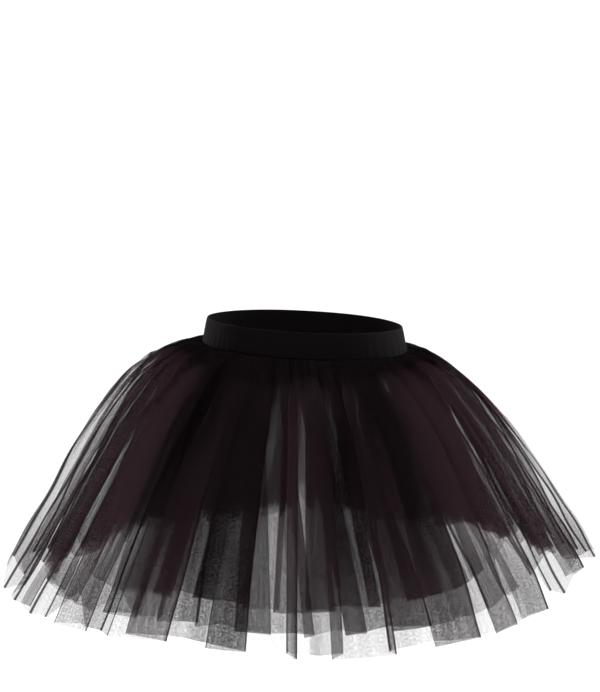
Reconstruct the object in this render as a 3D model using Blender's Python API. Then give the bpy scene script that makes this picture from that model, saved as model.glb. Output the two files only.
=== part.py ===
"""Child's tutu skirt in its worn shape: an elastic waistband with three gathered layers of net below it.

Units are metres, +Z is up and the front faces -Y. The origin is the middle of the waist, halfway up
the band, where the wearer holds the skirt. The net layers share one set of coordinates: how far
round the skirt, how far down from the seam, and how far out from the middle layer. Each layer keeps
to its own range of the last of these, so the layers never cross, however their folds lie.
"""

import math
from collections import namedtuple

import bpy
import numpy as np

# Waistband: a folded strip of stretch cloth over elastic, an ellipse seen from above.
WAIST_HALF_WIDTH = 0.100
WAIST_HALF_DEPTH = 0.076
BAND_HEIGHT = 0.024
BAND_THICK = 0.0026
BAND_SPREAD = 0.005
BAND_EDGE = 0.0008
BAND_BULGE = 0.0006
BAND_STEPS = 72

# The front of the waist sits lower than the back, and the hem follows by less.
WAIST_DROP = math.tan(math.radians(10.0))
HEM_DROP = math.tan(math.radians(4.0))
HEM_ROUNDING = 0.012

# Net layers, sewn to the band's lower edge one below another. The outer one is the longest.
NET_LENGTH = 0.291
NET_WALL = 0.0010
SEAM_GAP = 0.0003
SEAM_INSET = 0.0008
LAYER_STEP_SEAM = NET_WALL + 0.0005
LAYER_STEP_HEM = 0.0245
LAYER_STEP_RUN = 0.060

# Slope of the middle layer below level: level at the seam itself, then these two, with the distance
# that each change takes.
SLOPE_TOP = math.radians(29.0)
SLOPE_HEM = math.radians(60.0)
SEAM_RUN = 0.005
SLOPE_RUN = 0.055

# Folds: each layer has as many, and they lie flat like loose pleats. The crests of the outer layer,
# with nothing over them, stand out further.
FOLD_COUNT = 36
FOLD_SHARE = 0.38
FOLD_OUTSIDE = 1.9
FOLD_LIP = 0.0026
FOLD_LIP_SHARE = 0.12
FOLD_LIP_DROP = 0.30
FOLD_OVERLAP_MOST = 0.62
FOLD_CLOSED = 0.12
FOLD_OPEN_START = 0.015
FOLD_OPEN_RUN = 0.050

# Slow waves round the skirt that all the layers share: those of SWELLS move the net out and in from
# where it lies when drawn in evenly, and those of HEM_WAVES make it hang lower and higher at the hem.
Wave = namedtuple("Wave", "turns depth phase")
SWELLS = (
    Wave(1, 0.0050, 0.5),
    Wave(3, 0.0020, 0.6),
    Wave(7, 0.0035, 2.1),
    Wave(11, 0.0025, 5.0),
)
SWELL_RUN = 0.060
DRAWN_IN = 0.005
HEM_WAVES = (
    Wave(1, -0.0090, 0.3),
    Wave(5, 0.0035, 2.7),
)

# Where the hem hangs shorter: place round the skirt, half of the width there, and how much shorter.
Rise = namedtuple("Rise", "share half_width height")
HEM_RISES = (
    Rise(0.135, 0.105, 0.030),
    Rise(0.560, 0.080, 0.012),
)

# Each layer's folds repeat three times round it. Where a fold and the next one face each other, once
# in each repeat, the net between them parts in a gap. These are the distances down of the gaps'
# tops on the outer layer, and how much higher they lie on each layer below it.
GAP_TOPS = (0.212, 0.226, 0.258)
GAP_STEP = 0.012

# One row for each kind of fold: its share of the way round at the hem, how far its crest stands out
# and its trough lies in, the width that it overlaps at the hem in metres, the side it faces, and how
# much lower its far side hangs than its near side.
Fold = namedtuple("Fold", "width crest trough overlap side tilt")
FOLDS = (
    Fold(1.30, 1.00, 0.90, 0.030, 1, 0.007),
    Fold(0.72, 0.72, 0.84, 0.007, 1, -0.003),
    Fold(1.12, 0.92, 1.00, 0.018, -1, -0.008),
    Fold(0.70, 0.66, 0.76, 0.006, -1, 0.004),
    Fold(1.50, 0.96, 0.86, 0.042, 1, 0.005),
    Fold(0.82, 0.84, 0.78, 0.010, 1, 0.000),
    Fold(1.12, 1.00, 0.96, 0.013, -1, -0.006),
    Fold(0.74, 0.70, 0.86, 0.008, 1, 0.003),
    Fold(1.36, 0.90, 1.00, 0.036, -1, -0.004),
    Fold(0.78, 0.78, 0.72, 0.009, -1, 0.002),
    Fold(1.00, 0.96, 0.92, 0.015, 1, 0.008),
    Fold(0.88, 0.76, 0.88, 0.012, 1, -0.002),
    Fold(1.20, 0.94, 0.82, 0.026, -1, -0.005),
)

# One row for each layer, outermost first: its place among the layers, its length, the row of FOLDS
# it starts with, how many rows it goes on by, how far its folds are turned at the hem, in folds, and
# the fold before its first gap.
Layer = namedtuple("Layer", "name place length first_fold stride turn gap_fold")
LAYERS = (
    Layer("net_outer", 1.0, NET_LENGTH, 0, 5, -0.60, 2),
    Layer("net_middle", 0.0, 0.268, 2, 3, 0.90, 1),
    Layer("net_inner", -1.0, 0.240, 4, 7, -0.40, 2),
)

# Rows of points down each layer, as shares of its length.
ROWS = (0.0, 0.035, 0.09, 0.18, 0.34, 0.62, 1.0)

PROFILE_STEPS = 600
ROUND_STEPS = 1440
MIDWAY_OUT = 0.100


def clear_scene():
    for item in list(bpy.data.objects):
        bpy.data.objects.remove(item, do_unlink=True)


def smooth_step(value):
    t = np.clip(value, 0.0, 1.0)
    return t * t * (3.0 - 2.0 * t)


def waist_point(angle):
    """Point of the waist ellipse and its outward direction, seen from above."""
    cos, sin = np.cos(angle), np.sin(angle)
    point = np.stack([WAIST_HALF_WIDTH * cos, WAIST_HALF_DEPTH * sin], axis=-1)
    outward = np.stack([cos / WAIST_HALF_WIDTH, sin / WAIST_HALF_DEPTH], axis=-1)
    return point, outward / np.linalg.norm(outward, axis=-1, keepdims=True)


def evenly_round():
    """Angles that are evenly spaced along the skirt's girth midway down, from the front."""
    angle = np.linspace(-math.pi / 2, 1.5 * math.pi, ROUND_STEPS + 1)
    point, outward = waist_point(angle)
    girth = point + MIDWAY_OUT * outward
    steps = np.linalg.norm(np.diff(girth, axis=0), axis=1)
    along = np.concatenate([[0.0], np.cumsum(steps)])
    return along / along[-1], angle


def middle_profile():
    """Distance down the middle layer, with how far out and down it has gone and its slope there."""
    down = np.linspace(0.0, NET_LENGTH, PROFILE_STEPS + 1)
    slope = SLOPE_HEM + (SLOPE_TOP - SLOPE_HEM) * np.exp(-down / SLOPE_RUN)
    slope = slope * (1.0 - np.exp(-down / SEAM_RUN))
    step = down[1] - down[0]
    middle = (slope[1:] + slope[:-1]) / 2
    out = np.concatenate([[0.0], np.cumsum(np.cos(middle) * step)])
    drop = np.concatenate([[0.0], np.cumsum(np.sin(middle) * step)])
    return down, out, drop, slope


SHARE_ROUND, ANGLE_ROUND = evenly_round()
DOWN, OUT, DROP, SLOPE = middle_profile()


def mean_radius(down):
    return math.sqrt(WAIST_HALF_WIDTH * WAIST_HALF_DEPTH) + BAND_SPREAD + np.interp(down, DOWN, OUT)


def layer_step(down):
    """Distance between neighbouring layers."""
    rise = 1.0 - np.exp(-down / LAYER_STEP_RUN)
    return LAYER_STEP_SEAM + (LAYER_STEP_HEM - LAYER_STEP_SEAM) * rise


def wave_sum(waves, share):
    return sum(w.depth * np.sin(2 * math.pi * w.turns * share + w.phase) for w in waves)


def net_point(share, down, offset):
    """Point of the net: share of the way round from the front, distance down, offset outward."""
    extra = np.maximum(down - NET_LENGTH, 0.0)
    out = np.interp(down, DOWN, OUT) + extra * math.cos(SLOPE[-1])
    drop = np.interp(down, DOWN, DROP) + extra * math.sin(SLOPE[-1])
    slope = np.interp(down, DOWN, SLOPE)
    swell = wave_sum(SWELLS, share) - DRAWN_IN
    offset = offset + swell * (1.0 - np.exp(-down / SWELL_RUN))
    angle = np.interp(share % 1.0, SHARE_ROUND, ANGLE_ROUND)
    point, outward = waist_point(angle)
    fallen = smooth_step(down / NET_LENGTH)
    rounding = HEM_ROUNDING * (outward[..., 1] ** 2 - outward[..., 0] ** 2) * fallen
    level = BAND_SPREAD - SEAM_INSET + out + rounding + offset * np.sin(slope)
    flat = point + level[..., None] * outward
    seam_height = -BAND_HEIGHT / 2 - SEAM_GAP - NET_WALL / 2 - LAYER_STEP_SEAM
    lowering = WAIST_DROP + (HEM_DROP - WAIST_DROP) * fallen
    height = seam_height + offset * np.cos(slope) - drop + flat[..., 1] * lowering
    return np.concatenate([flat, height[..., None]], axis=-1)


def hem_change(share):
    """How much longer or shorter the net hangs at each share of the way round."""
    change = wave_sum(HEM_WAVES, share)
    for rise in HEM_RISES:
        away = np.abs((share - rise.share + 0.5) % 1.0 - 0.5) / rise.half_width
        change = change - rise.height * smooth_step(1.0 - away)
    return change


def gap_tops(layer):
    """For each fold that a gap follows, how far down the gap's top lies."""
    step = GAP_STEP * (1.0 - layer.place)
    return {layer.gap_fold + len(FOLDS) * i: top - step for i, top in enumerate(GAP_TOPS)}


def folds_of(layer):
    """The layer's folds in order round the skirt."""
    count = len(FOLDS)
    return [FOLDS[(layer.first_fold + layer.stride * i) % count] for i in range(FOLD_COUNT)]


def fold_stations(fold, width, overlap):
    """Points across one fold: place in its width, and height from -1 for trough to 1 for crest."""
    lap = overlap / width
    lip = min(FOLD_LIP / width, FOLD_LIP_SHARE)
    edge = 0.5 + lap / 2
    stations = (
        (0.08, 0.85 * fold.crest),
        (edge - lip, fold.crest),
        (edge, fold.crest - FOLD_LIP_DROP),
        (edge - lap, FOLD_LIP_DROP - fold.trough),
        (edge - lap + lip, -fold.trough),
    )
    if fold.side > 0:
        return stations
    return tuple((1.0 - place, height) for place, height in reversed(stations))


def layer_grid(layer):
    """Points of a layer's middle surface, a row of points round the skirt for each of ROWS."""
    folds = folds_of(layer)
    widths = np.array([f.width for f in folds])
    hem_edges = np.concatenate([[0.0], np.cumsum(widths) / widths.sum()])
    hem_edges = hem_edges + layer.turn / FOLD_COUNT
    seam_edges = np.arange(FOLD_COUNT + 1) / FOLD_COUNT
    seam_bend, hem_bend = 1 / mean_radius(0.0), 1 / mean_radius(NET_LENGTH)
    tops = gap_tops(layer)
    grid = []
    for row in ROWS:
        down = row * layer.length
        gathered = (1 / mean_radius(down) - hem_bend) / (seam_bend - hem_bend)
        edges = hem_edges + (seam_edges - hem_edges) * gathered
        girth = 2 * math.pi * mean_radius(down)
        depth = FOLD_SHARE * (layer_step(down) - LAYER_STEP_SEAM)
        opened = smooth_step((down - FOLD_OPEN_START) / FOLD_OPEN_RUN)
        shares, offsets, lengths, gaps = [], [], [], []
        for i, fold in enumerate(folds):
            width = (edges[i + 1] - edges[i]) * girth
            most = FOLD_OVERLAP_MOST * min(fold.crest, fold.trough) * width
            overlap = min(fold.overlap, most) * opened - FOLD_CLOSED * width * (1 - opened)
            for place, height in fold_stations(fold, width, overlap):
                if layer.place > 0 and height > 0:
                    height = height * FOLD_OUTSIDE
                shares.append(edges[i] + place * (edges[i + 1] - edges[i]))
                offsets.append(depth * height)
                lengths.append(down + fold.tilt * row * (place - 0.5))
            if i in tops:
                gaps.append((len(shares), tops[i]))
        shares, offsets, lengths = np.array(shares), np.array(offsets), np.array(lengths)
        lengths = lengths + hem_change(shares) * row ** 2
        for at, top in reversed(gaps):
            middle = (lengths[at - 1] + lengths[at]) / 2
            shares = np.insert(shares, at, (shares[at - 1] + shares[at]) / 2)
            offsets = np.insert(offsets, at, (offsets[at - 1] + offsets[at]) / 2)
            lengths = np.insert(lengths, at, middle - (layer.length - top) * row ** 2)
        grid.append(net_point(shares, lengths, layer.place * layer_step(down) + offsets))
    return np.array(grid)


def mesh_object(name, points, faces, colour, roughness):
    mesh = bpy.data.meshes.new(name)
    mesh.from_pydata([tuple(p) for p in points], [], faces)
    mesh.shade_smooth()
    mesh.set_sharp_from_angle(angle=math.radians(40))
    material = bpy.data.materials.new(name)
    material.use_nodes = True
    shader = material.node_tree.nodes["Principled BSDF"]
    shader.inputs["Base Color"].default_value = (*colour, 1.0)
    shader.inputs["Roughness"].default_value = roughness
    shader.inputs["Metallic"].default_value = 0.0
    mesh.materials.append(material)
    item = bpy.data.objects.new(name, mesh)
    bpy.context.scene.collection.objects.link(item)
    return item


def build_band():
    """The waistband: one profile carried round the waist, wider at its lower edge."""
    half, thick = BAND_HEIGHT / 2, BAND_THICK / 2
    middle = BAND_SPREAD / 2
    profile = (
        (BAND_SPREAD + thick, -half + BAND_EDGE),
        (middle + thick + BAND_BULGE, 0.0),
        (thick, half - BAND_EDGE),
        (thick - BAND_EDGE, half),
        (BAND_EDGE - thick, half),
        (-thick, half - BAND_EDGE),
        (middle - thick + BAND_BULGE, 0.0),
        (BAND_SPREAD - thick, -half + BAND_EDGE),
        (BAND_SPREAD - thick + BAND_EDGE, -half),
        (BAND_SPREAD + thick - BAND_EDGE, -half),
    )
    share = np.arange(BAND_STEPS) / BAND_STEPS
    point, outward = waist_point(np.interp(share, SHARE_ROUND, ANGLE_ROUND))
    rings = []
    for out, height in profile:
        flat = point + out * outward
        rings.append(np.concatenate([flat, (height + flat[:, 1] * WAIST_DROP)[:, None]], axis=1))
    faces = []
    count = len(profile)
    for r in range(count):
        for c in range(BAND_STEPS):
            here, there = r * BAND_STEPS, (r + 1) % count * BAND_STEPS
            after = (c + 1) % BAND_STEPS
            faces.append((here + c, here + after, there + after, there + c))
    return mesh_object("waistband", np.concatenate(rings), faces, (0.012, 0.011, 0.013), 0.6)


def build_layer(layer):
    """One net layer: its middle surface as triangles, thickened evenly to both sides."""
    grid = layer_grid(layer)
    rows, columns = grid.shape[:2]
    faces = []
    for r in range(rows - 1):
        for c in range(columns):
            upper, lower = r * columns, (r + 1) * columns
            after = (c + 1) % columns
            faces.append((upper + c, lower + c, lower + after))
            faces.append((upper + c, lower + after, upper + after))
    item = mesh_object(layer.name, grid.reshape(-1, 3), faces, (0.03, 0.026, 0.03), 0.8)
    wall = item.modifiers.new("wall", "SOLIDIFY")
    wall.thickness = NET_WALL
    wall.offset = 0.0
    wall.use_even_offset = True
    wall.use_quality_normals = True
    return item


def main():
    clear_scene()
    build_band()
    for layer in LAYERS:
        build_layer(layer)


main()
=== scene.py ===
"""Looks of the tutu skirt: sheer black net in three pleated layers below a stretch waistband.

Units are metres, +Z is up and the front faces -Y. The net layers are worked out as in the part's
source, with more rows and more points across each fold, crisp fold edges, fine gathers at the seam
and a slight flutter. How dark the net looks follows how far it is gathered there, and tables that
were set against the photo.
"""

import math
from collections import namedtuple

import bpy
import numpy as np
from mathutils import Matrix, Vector


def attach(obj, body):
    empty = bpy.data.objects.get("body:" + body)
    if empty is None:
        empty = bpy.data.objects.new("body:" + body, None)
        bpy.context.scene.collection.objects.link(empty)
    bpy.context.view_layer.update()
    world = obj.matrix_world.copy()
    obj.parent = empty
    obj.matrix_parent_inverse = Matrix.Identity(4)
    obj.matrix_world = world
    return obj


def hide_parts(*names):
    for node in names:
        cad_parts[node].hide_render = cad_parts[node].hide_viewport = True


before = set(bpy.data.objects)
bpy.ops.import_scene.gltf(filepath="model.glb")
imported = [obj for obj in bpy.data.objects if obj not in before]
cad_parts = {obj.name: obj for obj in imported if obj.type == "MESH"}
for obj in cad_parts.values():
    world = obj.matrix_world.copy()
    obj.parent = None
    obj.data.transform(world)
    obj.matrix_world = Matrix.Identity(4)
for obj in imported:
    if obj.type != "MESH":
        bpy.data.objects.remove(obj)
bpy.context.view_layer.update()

# Camera: the place that the photo is taken to be made from, with lens and sensor in millimetres.
# One pixel is about one millimetre at the waist.
CAMERA_TURN = math.radians(-25.0)
CAMERA_AWAY = 1.300
CAMERA_HEIGHT = -0.013
CAMERA_LENS = 67.63
CAMERA_SENSOR = 36.0
PICTURE_HEIGHT_PX = 692
WAIST_RIGHT_PX = 6

# Room: a pale floor that curves up into a wall behind.
FLOOR_HEIGHT = -0.620
WALL_AWAY = 3.2
WALL_CURVE = 0.9
WALL_CURVE_POINTS = 24
ROOM_HALF_WIDTH = 5.0
ROOM_NEAR = 3.5
WALL_TOP = 4.0
ROOM_COLOUR = (0.92, 0.92, 0.92)

# One row for each lamp: how far right of, beyond and above the waist it is as the camera sees it, the
# length of its side, and its power in watts. All are aimed at one point.
Lamp = namedtuple("Lamp", "name right away up size power")
LAMPS = (
    Lamp("key", -1.3, -1.5, 1.4, 1.2, 45.0),
    Lamp("fill", 1.6, -1.3, 0.8, 1.4, 28.0),
    Lamp("rim_left", -1.5, 0.9, 0.6, 0.8, 22.0),
    Lamp("rim_right", 1.5, 0.9, 0.6, 0.8, 22.0),
)
LIT_POINT = (0.0, 0.0, -0.1)
SKY_STRENGTH = 0.9

# How many sheer surfaces one behind another are seen through.
NETS_SEEN_THROUGH = 96

# Waistband, as in the part's source, and then its length when cut and laid flat, and its points, which
# are closer together here.
WAIST_HALF_WIDTH = 0.100
WAIST_HALF_DEPTH = 0.076
BAND_HEIGHT = 0.024
BAND_THICK = 0.0026
BAND_SPREAD = 0.005
BAND_GIRTH = 0.585
BAND_STEPS = 400
BAND_PROFILE_POINTS = 56

# Lie of the waist and the hem, as in the part's source.
WAIST_DROP = math.tan(math.radians(10.0))
HEM_DROP = math.tan(math.radians(4.0))
HEM_ROUNDING = 0.012

# Net layers, as in the part's source.
NET_LENGTH = 0.291
NET_WALL = 0.0010
SEAM_GAP = 0.0003
SEAM_INSET = 0.0008
LAYER_STEP_SEAM = NET_WALL + 0.0005
LAYER_STEP_HEM = 0.0245
LAYER_STEP_RUN = 0.060
SLOPE_TOP = math.radians(29.0)
SLOPE_HEM = math.radians(60.0)
SEAM_RUN = 0.005
SLOPE_RUN = 0.055

# Folds, as in the part's source but for the lip, the turn at a fold's edge, which is crisper.
FOLD_COUNT = 36
FOLD_SHARE = 0.38
FOLD_OUTSIDE = 1.9
FOLD_LIP = 0.0009
FOLD_LIP_SHARE = 0.06
FOLD_LIP_DROP = 0.14
FOLD_OVERLAP_MOST = 0.62
FOLD_CLOSED = 0.12
FOLD_OPEN_START = 0.015
FOLD_OPEN_RUN = 0.050
FOLD_SHOULDER = 0.08
FOLD_SHOULDER_HEIGHT = 0.85

# Slow waves round the skirt, its shorter places at the hem, its gaps and its kinds of folds, as in the
# part's source.
Wave = namedtuple("Wave", "turns depth phase")
SWELLS = (
    Wave(1, 0.0050, 0.5),
    Wave(3, 0.0020, 0.6),
    Wave(7, 0.0035, 2.1),
    Wave(11, 0.0025, 5.0),
)
SWELL_RUN = 0.060
DRAWN_IN = 0.005
HEM_WAVES = (
    Wave(1, -0.0090, 0.3),
    Wave(5, 0.0035, 2.7),
)

Rise = namedtuple("Rise", "share half_width height")
HEM_RISES = (
    Rise(0.135, 0.105, 0.030),
    Rise(0.560, 0.080, 0.012),
)
GAP_TOPS = (0.212, 0.226, 0.258)
GAP_STEP = 0.012

Fold = namedtuple("Fold", "width crest trough overlap side tilt")
FOLDS = (
    Fold(1.30, 1.00, 0.90, 0.030, 1, 0.007),
    Fold(0.72, 0.72, 0.84, 0.007, 1, -0.003),
    Fold(1.12, 0.92, 1.00, 0.018, -1, -0.008),
    Fold(0.70, 0.66, 0.76, 0.006, -1, 0.004),
    Fold(1.50, 0.96, 0.86, 0.042, 1, 0.005),
    Fold(0.82, 0.84, 0.78, 0.010, 1, 0.000),
    Fold(1.12, 1.00, 0.96, 0.013, -1, -0.006),
    Fold(0.74, 0.70, 0.86, 0.008, 1, 0.003),
    Fold(1.36, 0.90, 1.00, 0.036, -1, -0.004),
    Fold(0.78, 0.78, 0.72, 0.009, -1, 0.002),
    Fold(1.00, 0.96, 0.92, 0.015, 1, 0.008),
    Fold(0.88, 0.76, 0.88, 0.012, 1, -0.002),
    Fold(1.20, 0.94, 0.82, 0.026, -1, -0.005),
)

# One row for each layer, outermost first, as in the part's source, with the width of its flat cut and
# how much of the light a line along a fold's edge stops.
Layer = namedtuple("Layer", "name node place length first_fold stride turn gap_fold cut_width lines")
LAYERS = (
    Layer("outer_net", "net_outer", 1.0, NET_LENGTH, 0, 5, -0.60, 2, 3.65, 0.90),
    Layer("middle_net", "net_middle", 0.0, 0.268, 2, 3, 0.90, 1, 3.20, 0.45),
    Layer("inner_net", "net_inner", -1.0, 0.240, 4, 7, -0.40, 2, 2.80, 0.25),
)

# Finer form that the part's source leaves out: rows of points that lie closer together towards the
# seam, a turned-in top, gathers at the seam, rounded edges of the folds and a flutter in the panels.
NET_ROWS = 64
ROW_SPACING_POWER = 1.45
TUCK_HEIGHT = 0.004
TUCK_INSET = 0.003
GATHER_COUNT = 131
GATHER_SHARE = 0.24
GATHER_RUN = 0.085
GATHER_UNEVEN = 2.2
GATHER_UNEVEN_TURNS = 9
EASINGS = 2
Flutter = namedtuple("Flutter", "across down depth phase")
FLUTTERS = (
    Flutter(21.0, 9.0, 0.0007, 0.3),
    Flutter(37.0, -14.0, 0.0005, 1.9),
    Flutter(63.0, 6.0, 0.0003, 4.0),
)

# Finer form of the band: a section squarer than an ellipse, puckers at its lower edge, and a slow
# wave that tips it in and out.
BAND_SQUARE_ACROSS = 0.45
BAND_SQUARE_UP = 0.55
PUCKER_COUNT = 61
PUCKER_DEPTH = 0.00022
PUCKER_UNEVEN = 3
PUCKER_UNEVEN_TURNS = 5
BAND_WAVE = Wave(6, 0.0004, 1.0)

# Points across each stretch of a fold, as shares of the stretch, crowded at the fold's edges.
CREST_POINTS = (0.0, 0.14, 0.28, 0.42, 0.56, 0.70, 0.82, 0.91, 0.97)
LIP_POINTS = (0.0, 0.34, 0.68)
RETURN_POINTS = (0.0, 0.03, 0.11, 0.28, 0.50, 0.72, 0.89, 0.97)
FORWARD_POINTS = (0.0, 0.02, 0.07, 0.15, 0.25, 0.36, 0.47, 0.58, 0.69, 0.79, 0.88, 0.95)

# What a column of points lies on: a fold's panel, the lip at its edge, or the way to the next fold.
PANEL, LIP, BETWEEN = 0, 1, 2

# How many thicknesses of net lie together on each fold's crest and between it and the next fold,
# compared with the usual number, that number, and how far down they come to differ so much. These are
# set to look as uneven as the photo.
CREST_NETS = (1.00, 0.50, 1.55, 0.75, 2.00, 0.60, 1.20)
FORWARD_NETS = (0.70, 1.20, 0.60, 1.50, 0.85)
NETS_TOGETHER = 1.9
NETS_DIFFER_RUN = 0.18

# Where round the skirt the net is made denser or thinner than its gathering makes it, by how much, and
# how far down that starts. Towards the hem this fades to a smaller share of itself. These are set
# against the photo, where a leotard behind the net adds to its darkness at the front.
Crowding = namedtuple("Crowding", "share half_width factor start")
CROWDINGS = (
    Crowding(0.115, 0.125, 0.20, 0.00),
    Crowding(0.420, 0.200, 0.62, 0.06),
    Crowding(0.750, 0.115, 0.20, 0.00),
    Crowding(0.842, 0.052, 2.30, 0.02),
    Crowding(0.908, 0.035, 0.85, 0.14),
    Crowding(0.958, 0.022, 1.70, 0.05),
    Crowding(0.998, 0.042, 1.80, 0.02),
)
CROWDING_RUN = 0.06
HEM_CROWDING = 0.25
HEM_CROWDING_START = 0.18
HEM_CROWDING_RUN = 0.10

# How much the gathering of a whole row, and of each place in it, count for how crowded the net is
# there, with the least and most that one place's gathering is taken to be. The last two are the least
# and most that the net is crowded in all.
ROW_CROWD_POWER = 0.7
LOCAL_CROWD_POWER = 0.3
LOCAL_CROWD_LEAST = 0.8
LOCAL_CROWD_MOST = 12.0
SHORTEST_STEP = 1e-5
NET_CROWD_LEAST = 0.15
NET_CROWD_MOST = 9.0

# How far down the dark lines along the folds' edges start, and how much further down they are full.
FOLD_LINE_START = 0.012
FOLD_LINE_RUN = 0.03

# Net: the size of its meshes, how far across its threads run for each metre down, how much light one
# thickness stops between threads and on them, its grain and streaks, its colours where it is sheer
# (lighter, a painted glow of light coming through it) and where it is dense (darker, painted shade),
# and how crowded it is there.
NET_MESH = 0.0013
NET_THREAD_SLANT = 0.577
NET_THREAD_SHARE = 0.16
NET_STOP_HOLE = 0.20
NET_STOP_THREAD = 0.60
NET_GRAIN_SCALE = 620.0
NET_GRAIN_DEPTH = 2.8
NET_STREAKS_ACROSS = 260.0
NET_STREAKS_DOWN = 5.0
NET_STREAK_DEPTH = 1.0
NET_SHEER_PAINTED_GLOW_COLOUR = (0.0210, 0.0112, 0.0140)
NET_DENSE_PAINTED_SHADE_COLOUR = (0.0030, 0.0018, 0.0021)
NET_PAINTED_GLOW_CROWD = 0.4
NET_PAINTED_SHADE_CROWD = 4.0
NOISE_DETAIL = 2.0

# Knit of the band: the pitch of its ribs round it and of its rows up it, and how high they stand.
KNIT_RIB = 0.0007
KNIT_ROW = 0.0006
KNIT_HEIGHT = 0.0001
KNIT_STRENGTH = 0.25
BAND_COLOUR = (0.0016, 0.0010, 0.0011)

# Steps for working out lengths along the curves, and where the girth midway down is measured.
PROFILE_STEPS = 600
ROUND_STEPS = 1440
MIDWAY_OUT = 0.100


def smooth_step(value):
    t = np.clip(value, 0.0, 1.0)
    return t * t * (3.0 - 2.0 * t)


def waist_point(angle):
    """Point of the waist ellipse and its outward direction, seen from above."""
    cos, sin = np.cos(angle), np.sin(angle)
    point = np.stack([WAIST_HALF_WIDTH * cos, WAIST_HALF_DEPTH * sin], axis=-1)
    outward = np.stack([cos / WAIST_HALF_WIDTH, sin / WAIST_HALF_DEPTH], axis=-1)
    return point, outward / np.linalg.norm(outward, axis=-1, keepdims=True)


def evenly_round():
    """Angles that are evenly spaced along the skirt's girth midway down, from the front."""
    angle = np.linspace(-math.pi / 2, 1.5 * math.pi, ROUND_STEPS + 1)
    point, outward = waist_point(angle)
    girth = point + MIDWAY_OUT * outward
    steps = np.linalg.norm(np.diff(girth, axis=0), axis=1)
    along = np.concatenate([[0.0], np.cumsum(steps)])
    return along / along[-1], angle


def middle_profile():
    """Distance down the middle layer, with how far out and down it has gone and its slope there."""
    down = np.linspace(0.0, NET_LENGTH, PROFILE_STEPS + 1)
    slope = SLOPE_HEM + (SLOPE_TOP - SLOPE_HEM) * np.exp(-down / SLOPE_RUN)
    slope = slope * (1.0 - np.exp(-down / SEAM_RUN))
    step = down[1] - down[0]
    middle = (slope[1:] + slope[:-1]) / 2
    out = np.concatenate([[0.0], np.cumsum(np.cos(middle) * step)])
    drop = np.concatenate([[0.0], np.cumsum(np.sin(middle) * step)])
    return down, out, drop, slope


SHARE_ROUND, ANGLE_ROUND = evenly_round()
DOWN, OUT, DROP, SLOPE = middle_profile()


def mean_radius(down):
    return math.sqrt(WAIST_HALF_WIDTH * WAIST_HALF_DEPTH) + BAND_SPREAD + np.interp(down, DOWN, OUT)


def layer_step(down):
    """Distance between neighbouring layers."""
    rise = 1.0 - np.exp(-down / LAYER_STEP_RUN)
    return LAYER_STEP_SEAM + (LAYER_STEP_HEM - LAYER_STEP_SEAM) * rise


def wave_sum(waves, share):
    return sum(w.depth * np.sin(2 * math.pi * w.turns * share + w.phase) for w in waves)


def net_point(share, down, offset):
    """Point of the net: share of the way round from the front, distance down, offset outward."""
    extra = np.maximum(down - NET_LENGTH, 0.0)
    out = np.interp(down, DOWN, OUT) + extra * math.cos(SLOPE[-1])
    drop = np.interp(down, DOWN, DROP) + extra * math.sin(SLOPE[-1])
    slope = np.interp(down, DOWN, SLOPE)
    swell = wave_sum(SWELLS, share) - DRAWN_IN
    offset = offset + swell * (1.0 - np.exp(-down / SWELL_RUN))
    angle = np.interp(share % 1.0, SHARE_ROUND, ANGLE_ROUND)
    point, outward = waist_point(angle)
    fallen = smooth_step(down / NET_LENGTH)
    rounding = HEM_ROUNDING * (outward[..., 1] ** 2 - outward[..., 0] ** 2) * fallen
    level = BAND_SPREAD - SEAM_INSET + out + rounding + offset * np.sin(slope)
    flat = point + level[..., None] * outward
    seam_height = -BAND_HEIGHT / 2 - SEAM_GAP - NET_WALL / 2 - LAYER_STEP_SEAM
    lowering = WAIST_DROP + (HEM_DROP - WAIST_DROP) * fallen
    height = seam_height + offset * np.cos(slope) - drop + flat[..., 1] * lowering
    return np.concatenate([flat, height[..., None]], axis=-1)


def hem_change(share):
    """How much longer or shorter the net hangs at each share of the way round."""
    change = wave_sum(HEM_WAVES, share)
    for rise in HEM_RISES:
        away = np.abs((share - rise.share + 0.5) % 1.0 - 0.5) / rise.half_width
        change = change - rise.height * smooth_step(1.0 - away)
    return change


def gap_tops(layer):
    """For each fold that a gap follows, how far down the gap's top lies."""
    step = GAP_STEP * (1.0 - layer.place)
    return {layer.gap_fold + len(FOLDS) * i: top - step for i, top in enumerate(GAP_TOPS)}


def crowding(share, downs):
    """How much denser than its gathering makes it the net is drawn, at each share and distance down."""
    power = np.zeros_like(share)
    for place in CROWDINGS:
        away = np.abs((share - place.share + 0.5) % 1.0 - 0.5) / place.half_width
        begun = smooth_step((downs - place.start) / CROWDING_RUN)[:, None]
        power = power + math.log(place.factor) * smooth_step(1.0 - away) * begun
    lowest = smooth_step((downs - HEM_CROWDING_START) / HEM_CROWDING_RUN)[:, None]
    return np.exp(power * (1.0 + (HEM_CROWDING - 1.0) * lowest))


def folds_of(layer):
    """The layer's folds in order round the skirt."""
    count = len(FOLDS)
    return [FOLDS[(layer.first_fold + layer.stride * i) % count] for i in range(FOLD_COUNT)]


def fold_stations(fold, width, overlap):
    """Corners of one fold: place in its width, and height from -1 for trough to 1 for crest."""
    lap = overlap / width
    lip = min(FOLD_LIP / width, FOLD_LIP_SHARE)
    edge = 0.5 + lap / 2
    stations = (
        (FOLD_SHOULDER, FOLD_SHOULDER_HEIGHT * fold.crest),
        (edge - lip, fold.crest),
        (edge, fold.crest - FOLD_LIP_DROP),
        (edge - lap, FOLD_LIP_DROP - fold.trough),
        (edge - lap + lip, -fold.trough),
    )
    if fold.side > 0:
        return stations
    return tuple((1.0 - place, height) for place, height in reversed(stations))


def turned(points):
    """The same points counted from the stretch's other end."""
    return (0.0,) + tuple(1.0 - p for p in reversed(points) if p > 0.0)


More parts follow.
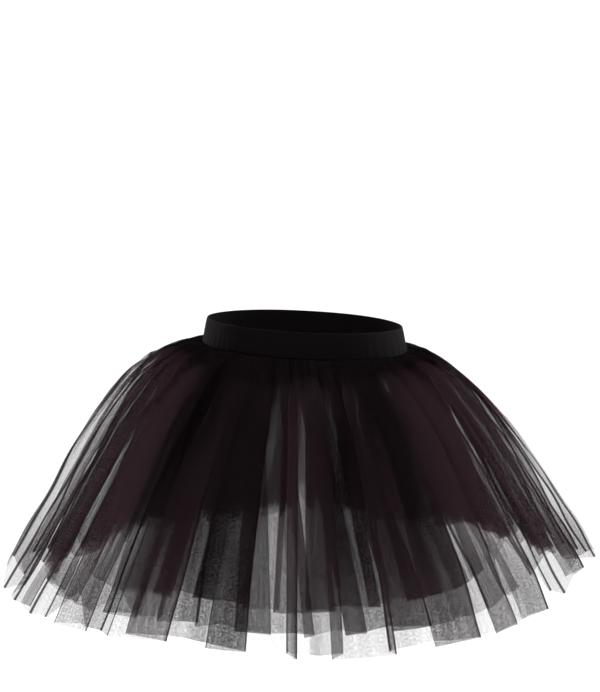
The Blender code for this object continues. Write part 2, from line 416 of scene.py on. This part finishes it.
def column_plan(folds):
    """For each column of points: its fold, the corner it follows, its share of the way on from there,
    what it lies on, and how many nets lie together there."""
    fold_of, corner, along, kind, nets = [], [], [], [], []
    for i, fold in enumerate(folds):
        crest, forward = CREST_NETS[i % len(CREST_NETS)], FORWARD_NETS[i % len(FORWARD_NETS)]
        if fold.side > 0:
            plan = (CREST_POINTS, LIP_POINTS, RETURN_POINTS, LIP_POINTS, FORWARD_POINTS)
            kinds = (PANEL, LIP, PANEL, LIP, BETWEEN)
            amounts = (crest, crest, 1.0, forward, forward)
        else:
            plan = (LIP_POINTS, RETURN_POINTS, LIP_POINTS, turned(CREST_POINTS), FORWARD_POINTS)
            kinds = (LIP, PANEL, LIP, PANEL, BETWEEN)
            amounts = (forward, 1.0, crest, crest, forward)
        for stretch, points in enumerate(plan):
            for n, p in enumerate(points):
                fold_of.append(i)
                corner.append(len(plan) * i + stretch)
                along.append(p)
                after_lip = stretch > 0 and kinds[stretch - 1] == LIP
                own = n > 0 or kinds[stretch] == BETWEEN
                kind.append(kinds[stretch] if own else LIP if after_lip else PANEL)
                nets.append(amounts[stretch])
    return tuple(np.array(column) for column in (fold_of, corner, along, kind, nets))


def eased(values, wrap):
    """Each value moved a little towards its neighbours round the skirt, so that edges are rounded."""
    before = np.concatenate([values[-1:] - wrap, values[:-1]])
    after = np.concatenate([values[1:], values[:1] + wrap])
    return (before + 2 * values + after) / 4


def fold_edges(layer, folds, down):
    """Where each fold begins and ends round the skirt: evenly spaced at the seam, less so lower."""
    widths = np.array([f.width for f in folds])
    hem_edges = np.concatenate([[0.0], np.cumsum(widths) / widths.sum()])
    hem_edges = hem_edges + layer.turn / FOLD_COUNT
    seam_edges = np.arange(FOLD_COUNT + 1) / FOLD_COUNT
    seam_bend, hem_bend = 1 / mean_radius(0.0), 1 / mean_radius(NET_LENGTH)
    gathered = (1 / mean_radius(down) - hem_bend) / (seam_bend - hem_bend)
    return hem_edges + (seam_edges - hem_edges) * gathered


def fold_corners(layer, folds, down):
    """Corners of all the folds at one distance down: share of the way round, height, and how much
    lower each hangs. The first corner comes again at the end, a full turn on."""
    edges = fold_edges(layer, folds, down)
    girth = 2 * math.pi * mean_radius(down)
    opened = smooth_step((down - FOLD_OPEN_START) / FOLD_OPEN_RUN)
    row = down / layer.length
    shares, heights, tilts = [], [], []
    for i, fold in enumerate(folds):
        width = (edges[i + 1] - edges[i]) * girth
        most = FOLD_OVERLAP_MOST * min(fold.crest, fold.trough) * width
        overlap = min(fold.overlap, most) * opened - FOLD_CLOSED * width * (1 - opened)
        for place, height in fold_stations(fold, width, overlap):
            if layer.place > 0 and height > 0:
                height = height * FOLD_OUTSIDE
            shares.append(edges[i] + place * (edges[i + 1] - edges[i]))
            heights.append(height)
            tilts.append(fold.tilt * row * (place - 0.5))
    shares = np.array(shares + [shares[0] + 1.0])
    return shares, np.array(heights + heights[:1]), np.array(tilts + tilts[:1])


def parted_lengths(layer, fold_of, along, kind):
    """How much shorter each column hangs at the hem, where the net parts in a gap between folds."""
    parted = np.zeros(len(along))
    for i, top in gap_tops(layer).items():
        here = (fold_of == i) & (kind == BETWEEN)
        across = np.where(here, 1.0 - np.abs(2.0 * along - 1.0), 0.0)
        parted = parted + across * (layer.length - top)
    return parted


def gathers(share, down, opening):
    """How far the fine gathers move the net out and in: most near the seam, and less below it."""
    uneven = GATHER_UNEVEN * np.sin(2 * math.pi * GATHER_UNEVEN_TURNS * share)
    gather = np.sin(2 * math.pi * GATHER_COUNT * share + uneven)
    return gather * GATHER_SHARE * opening * math.exp(-down / GATHER_RUN)


def flutter(layer, columns, down):
    """Slight waves in the panels, in metres."""
    cut = np.arange(columns) / columns * layer.cut_width
    return sum(
        f.depth * np.sin(f.across * cut + f.down * down * 2 * math.pi + f.phase + layer.place)
        for f in FLUTTERS
    )


def layer_surface(layer):
    """A layer's points, row by row, with its flat cut's coordinates, how crowded the net is at each
    point, and which points lie on a fold's edge."""
    folds = folds_of(layer)
    fold_of, corner, along, kind, nets = column_plan(folds)
    parted = parted_lengths(layer, fold_of, along, kind)
    downs = layer.length * np.linspace(0.0, 1.0, NET_ROWS) ** ROW_SPACING_POWER
    grid, shares_round = [], []
    for down in downs:
        row = down / layer.length
        share, height, tilt = (
            corners[corner] + along * (corners[corner + 1] - corners[corner])
            for corners in fold_corners(layer, folds, down)
        )
        for _ in range(EASINGS):
            share = eased(share, 1.0)
            height = eased(height, 0.0)
        opening = layer_step(down) - LAYER_STEP_SEAM
        offset = layer.place * layer_step(down) + FOLD_SHARE * opening * height
        offset = offset + gathers(share, down, opening)
        offset = offset + flutter(layer, len(corner), down) * smooth_step(row)
        length = down + tilt + (hem_change(share) - parted) * row ** 2
        grid.append(net_point(share, length, offset))
        shares_round.append(share)
    grid = np.array(grid)
    cut, crowd = cut_and_crowd(grid, layer.cut_width)
    apart = smooth_step(downs / NETS_DIFFER_RUN)[:, None]
    crowd = crowd * NETS_TOGETHER * (1.0 + (nets[None, :] - 1.0) * apart)
    crowd = crowd * crowding(np.array(shares_round), downs)
    lines = smooth_step((downs - FOLD_LINE_START) / FOLD_LINE_RUN)[:, None]
    edge = layer.lines * lines * (kind == LIP)[None, :]
    return with_turned_in_top(layer, grid, downs, cut, crowd, edge)


def with_turned_in_top(layer, grid, downs, cut, crowd, edge):
    """The layer carried on up inside the waistband, where it is sewn in."""
    tucked = grid[0].copy()
    tucked[:, 2] += TUCK_HEIGHT + SEAM_GAP + (1.0 - layer.place) * LAYER_STEP_SEAM
    tucked[:, :2] *= 1.0 - (1.0 - layer.place) * TUCK_INSET
    grid = np.concatenate([tucked[None], grid])
    downs = np.concatenate([[-TUCK_HEIGHT], downs])
    crowd = np.concatenate([crowd[:1], crowd])
    edge = np.concatenate([edge[:1], edge])
    return grid, downs, cut, np.clip(crowd, NET_CROWD_LEAST, NET_CROWD_MOST), edge


def cut_and_crowd(grid, cut_width):
    """Where each column lies in the flat cut, and how many times the net is crowded at each point."""
    steps = np.linalg.norm(np.roll(grid, -1, axis=1) - grid, axis=2)
    flat_steps = steps[-1] * cut_width / steps[-1].sum()
    cut = np.concatenate([[0.0], np.cumsum(flat_steps)[:-1]])
    local = flat_steps[None, :] / np.maximum(steps, SHORTEST_STEP)
    local = (local + np.roll(local, 1, axis=1)) / 2
    whole = cut_width / steps.sum(axis=1, keepdims=True)
    local = np.clip(local, LOCAL_CROWD_LEAST, LOCAL_CROWD_MOST)
    return cut, whole ** ROW_CROWD_POWER * local ** LOCAL_CROWD_POWER


def new_material(name):
    material = bpy.data.materials.new(name)
    material.use_nodes = True
    return material, material.node_tree, material.node_tree.nodes["Principled BSDF"]


def feed(tree, socket, value):
    """Set a socket to a plain value, or link it to another node's output."""
    if isinstance(value, (int, float)):
        socket.default_value = value
    else:
        tree.links.new(value, socket)


def math_node(tree, kind, first, second=None, clamp=False):
    node = tree.nodes.new("ShaderNodeMath")
    node.operation = kind
    node.use_clamp = clamp
    feed(tree, node.inputs[0], first)
    if second is not None:
        feed(tree, node.inputs[1], second)
    return node.outputs[0]


def mix_values(tree, factor, first, second):
    node = tree.nodes.new("ShaderNodeMix")
    node.data_type = "FLOAT"
    feed(tree, node.inputs[0], factor)
    feed(tree, node.inputs[2], first)
    feed(tree, node.inputs[3], second)
    return node.outputs[0]


def noise(tree, vector, scale, depth):
    """Noise about 0, as deep as said."""
    node = tree.nodes.new("ShaderNodeTexNoise")
    node.inputs["Scale"].default_value = scale
    node.inputs["Detail"].default_value = NOISE_DETAIL
    tree.links.new(vector, node.inputs["Vector"])
    return math_node(tree, "MULTIPLY", math_node(tree, "SUBTRACT", node.outputs[0], 0.5), depth)


def cut_place(tree):
    """Where a point lies in the flat cut: as one vector, across, and down."""
    uv = tree.nodes.new("ShaderNodeUVMap")
    uv.uv_map = "cut"
    split = tree.nodes.new("ShaderNodeSeparateXYZ")
    tree.links.new(uv.outputs[0], split.inputs[0])
    return uv.outputs[0], split.outputs[0], split.outputs[1]


def attribute(tree, name):
    node = tree.nodes.new("ShaderNodeAttribute")
    node.attribute_name = name
    return node.outputs["Fac"]


def thread_lines(tree, across, pitch, share):
    """1 on evenly spaced threads and 0 between them."""
    place = math_node(tree, "FRACT", math_node(tree, "DIVIDE", across, pitch))
    from_middle = math_node(tree, "ABSOLUTE", math_node(tree, "SUBTRACT", place, 0.5))
    return math_node(tree, "LESS_THAN", from_middle, share / 2)


def net_material():
    """Soft net: threads in a diamond mesh, darker where it is crowded and along its folds, with a
    painted glow of light in its colour where it is sheer and painted shade in its colour where it is
    crowded.
    """
    material, tree, shader = new_material("soft_net")
    shader.inputs["Roughness"].default_value = 0.9
    shader.inputs["Specular IOR Level"].default_value = 0.01
    place, across, down = cut_place(tree)
    slant = math_node(tree, "MULTIPLY", down, NET_THREAD_SLANT)
    rising = math_node(tree, "ADD", across, slant)
    falling = math_node(tree, "SUBTRACT", across, slant)
    one = thread_lines(tree, rising, NET_MESH, NET_THREAD_SHARE)
    other = thread_lines(tree, falling, NET_MESH, NET_THREAD_SHARE)
    thread = math_node(tree, "MAXIMUM", one, other)
    stretched = tree.nodes.new("ShaderNodeCombineXYZ")
    tree.links.new(math_node(tree, "MULTIPLY", across, NET_STREAKS_ACROSS), stretched.inputs[0])
    tree.links.new(math_node(tree, "MULTIPLY", down, NET_STREAKS_DOWN), stretched.inputs[1])
    grain = noise(tree, place, NET_GRAIN_SCALE, NET_GRAIN_DEPTH)
    streaks = noise(tree, stretched.outputs[0], 1.0, NET_STREAK_DEPTH)
    uneven = math_node(tree, "ADD", grain, streaks)
    crowd = attribute(tree, "crowd")
    amount = math_node(tree, "MULTIPLY", crowd, math_node(tree, "ADD", uneven, 1.0))
    hole_pass = math_node(tree, "POWER", 1.0 - NET_STOP_HOLE, amount)
    thread_pass = math_node(tree, "POWER", 1.0 - NET_STOP_THREAD, amount)
    passed = mix_values(tree, thread, hole_pass, thread_pass)
    beside_line = math_node(tree, "SUBTRACT", 1.0, attribute(tree, "fold_edge"))
    passed = math_node(tree, "MULTIPLY", passed, beside_line)
    stopped = math_node(tree, "SUBTRACT", 1.0, passed, clamp=True)
    tree.links.new(stopped, shader.inputs["Alpha"])
    # Painted light in the net's colour: a lighter painted glow of light through it where it is sheer,
    # fading to darker painted shade where it is crowded.
    above = math_node(tree, "SUBTRACT", crowd, NET_PAINTED_GLOW_CROWD)
    painted_shade_share = math_node(tree, "DIVIDE", above, NET_PAINTED_SHADE_CROWD - NET_PAINTED_GLOW_CROWD, clamp=True)
    colour = tree.nodes.new("ShaderNodeMix")
    colour.data_type = "RGBA"
    tree.links.new(painted_shade_share, colour.inputs[0])
    colour.inputs[6].default_value = (*NET_SHEER_PAINTED_GLOW_COLOUR, 1.0)
    colour.inputs[7].default_value = (*NET_DENSE_PAINTED_SHADE_COLOUR, 1.0)
    tree.links.new(colour.outputs[2], shader.inputs["Base Color"])
    return material


def ridges(tree, across, pitch):
    """Even ridges, from 0 to 2."""
    wave = math_node(tree, "SINE", math_node(tree, "MULTIPLY", across, 2 * math.pi / pitch))
    return math_node(tree, "ADD", wave, 1.0)


def band_material():
    """Matt stretch knit with fine upright ribs."""
    material, tree, shader = new_material("stretch_knit")
    shader.inputs["Base Color"].default_value = (*BAND_COLOUR, 1.0)
    shader.inputs["Roughness"].default_value = 0.75
    shader.inputs["Specular IOR Level"].default_value = 0.02
    shader.inputs["Sheen Weight"].default_value = 0.003
    shader.inputs["Sheen Roughness"].default_value = 0.5
    _, across, up = cut_place(tree)
    knit = math_node(tree, "MULTIPLY", ridges(tree, across, KNIT_RIB), ridges(tree, up, KNIT_ROW))
    bump = tree.nodes.new("ShaderNodeBump")
    bump.inputs["Strength"].default_value = KNIT_STRENGTH
    bump.inputs["Distance"].default_value = KNIT_HEIGHT
    tree.links.new(knit, bump.inputs["Height"])
    tree.links.new(bump.outputs[0], shader.inputs["Normal"])
    return material


def grid_object(name, grid, closed_rows, uv, material):
    """A mesh of quads through a grid of points that closes on itself round the skirt."""
    rows, columns = grid.shape[:2]
    index = np.arange(rows * columns).reshape(rows, columns)
    lower = np.roll(index, -1, axis=0) if closed_rows else index[1:]
    upper = index if closed_rows else index[:-1]
    quads = np.stack([upper, lower, np.roll(lower, -1, axis=1), np.roll(upper, -1, axis=1)], axis=-1)
    quads = quads.reshape(-1, 4)
    mesh = bpy.data.meshes.new(name)
    mesh.from_pydata(grid.reshape(-1, 3).tolist(), [], quads.tolist())
    layer = mesh.uv_layers.new(name="cut")
    across, down = uv
    column = quads % columns
    far = np.zeros_like(column)
    far[:, 2:] = column[:, 2:] == 0
    spacing = across[-1] - across[-2]
    places = np.stack([across[column] + far * (across[-1] + spacing), down[quads // columns]], axis=-1)
    layer.data.foreach_set("uv", places.reshape(-1))
    mesh.materials.append(material)
    mesh.shade_smooth()
    item = bpy.data.objects.new(name, mesh)
    bpy.context.scene.collection.objects.link(item)
    return item


def point_attribute(item, name, values):
    data = item.data.attributes.new(name, "FLOAT", "POINT")
    data.data.foreach_set("value", np.asarray(values, dtype=np.float32).reshape(-1))


def build_net(layer, material):
    grid, downs, cut, crowd, edge = layer_surface(layer)
    item = grid_object(layer.name, grid, False, (cut, downs), material)
    point_attribute(item, "crowd", crowd)
    point_attribute(item, "fold_edge", edge)
    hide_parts(layer.node)
    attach(item, "root")


def build_band(material):
    """The waistband: a rounded section carried round the waist, puckered below by the gathers."""
    half, thick = BAND_HEIGHT / 2, BAND_THICK / 2
    turn = np.linspace(0.0, 2 * math.pi, BAND_PROFILE_POINTS, endpoint=False)
    cos, sin = np.cos(turn), np.sin(turn)
    across = thick * np.sign(cos) * np.abs(cos) ** BAND_SQUARE_ACROSS
    height = half * np.sign(sin) * np.abs(sin) ** BAND_SQUARE_UP
    share = np.arange(BAND_STEPS) / BAND_STEPS
    point, outward = waist_point(np.interp(share, SHARE_ROUND, ANGLE_ROUND))
    uneven = PUCKER_UNEVEN * np.sin(2 * math.pi * PUCKER_UNEVEN_TURNS * share)
    puckers = PUCKER_DEPTH * np.sin(2 * math.pi * PUCKER_COUNT * share + uneven)
    grid = []
    for x, z in zip(across, height):
        spread = BAND_SPREAD * (half - z) / BAND_HEIGHT
        pucker = puckers * smooth_step(0.5 - z / BAND_HEIGHT)
        wave = wave_sum((BAND_WAVE,), share) * (z / half)
        flat = point + (x + spread + pucker + wave)[:, None] * outward
        grid.append(np.concatenate([flat, (z + flat[:, 1] * WAIST_DROP)[:, None]], axis=1))
    cut = share * BAND_GIRTH
    item = grid_object("stretch_band", np.array(grid), True, (cut, height), material)
    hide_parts("waistband")
    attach(item, "root")


def build_room():
    """Floor and wall in one curved sheet."""
    profile = [(-ROOM_NEAR, FLOOR_HEIGHT)]
    for turn in np.linspace(0.0, math.pi / 2, WALL_CURVE_POINTS):
        y = WALL_AWAY - WALL_CURVE + WALL_CURVE * math.sin(turn)
        profile.append((y, FLOOR_HEIGHT + WALL_CURVE * (1 - math.cos(turn))))
    profile.append((WALL_AWAY, WALL_TOP))
    vertices, faces = [], []
    away = Vector((-math.sin(CAMERA_TURN), math.cos(CAMERA_TURN), 0.0))
    side = Vector((math.cos(CAMERA_TURN), math.sin(CAMERA_TURN), 0.0))
    for distance, height in profile:
        for x in (-ROOM_HALF_WIDTH, ROOM_HALF_WIDTH):
            vertices.append(away * distance + side * x + Vector((0.0, 0.0, height)))
    for i in range(len(profile) - 1):
        faces.append((2 * i, 2 * i + 1, 2 * i + 3, 2 * i + 2))
    mesh = bpy.data.meshes.new("room")
    mesh.from_pydata(vertices, [], faces)
    mesh.shade_smooth()
    material, _, shader = new_material("room_white")
    shader.inputs["Base Color"].default_value = (*ROOM_COLOUR, 1.0)
    shader.inputs["Roughness"].default_value = 0.9
    mesh.materials.append(material)
    item = bpy.data.objects.new("room", mesh)
    bpy.context.scene.collection.objects.link(item)


def add_lamp(lamp):
    """A soft square lamp."""
    light = bpy.data.lights.new(lamp.name, "AREA")
    light.size = lamp.size
    light.energy = lamp.power
    item = bpy.data.objects.new(lamp.name, light)
    item.location = (
        lamp.right * math.cos(CAMERA_TURN) - lamp.away * math.sin(CAMERA_TURN),
        lamp.right * math.sin(CAMERA_TURN) + lamp.away * math.cos(CAMERA_TURN),
        lamp.up,
    )
    item.rotation_euler = (Vector(LIT_POINT) - item.location).to_track_quat("-Z", "Y").to_euler()
    bpy.context.scene.collection.objects.link(item)


def add_sky():
    """Even white light from all round."""
    world = bpy.data.worlds.new("studio")
    bpy.context.scene.world = world
    world.use_nodes = True
    world.node_tree.nodes["Background"].inputs[0].default_value = (1.0, 1.0, 1.0, 1.0)
    world.node_tree.nodes["Background"].inputs[1].default_value = SKY_STRENGTH


def add_camera():
    data = bpy.data.cameras.new("camera")
    data.sensor_fit = "VERTICAL"
    data.sensor_height = CAMERA_SENSOR
    data.lens = CAMERA_LENS
    data.shift_x = -WAIST_RIGHT_PX / PICTURE_HEIGHT_PX
    item = bpy.data.objects.new("camera", data)
    item.location = (
        CAMERA_AWAY * math.sin(CAMERA_TURN),
        -CAMERA_AWAY * math.cos(CAMERA_TURN),
        CAMERA_HEIGHT,
    )
    item.rotation_euler = (math.pi / 2, 0.0, CAMERA_TURN)
    bpy.context.scene.collection.objects.link(item)
    bpy.context.scene.camera = item


def main():
    scene = bpy.context.scene
    scene.view_settings.view_transform = "Standard"
    scene.cycles.transparent_max_bounces = NETS_SEEN_THROUGH
    add_camera()
    build_room()
    for lamp in LAMPS:
        add_lamp(lamp)
    add_sky()
    net = net_material()
    for layer in LAYERS:
        build_net(layer, net)
    build_band(band_material())


main()
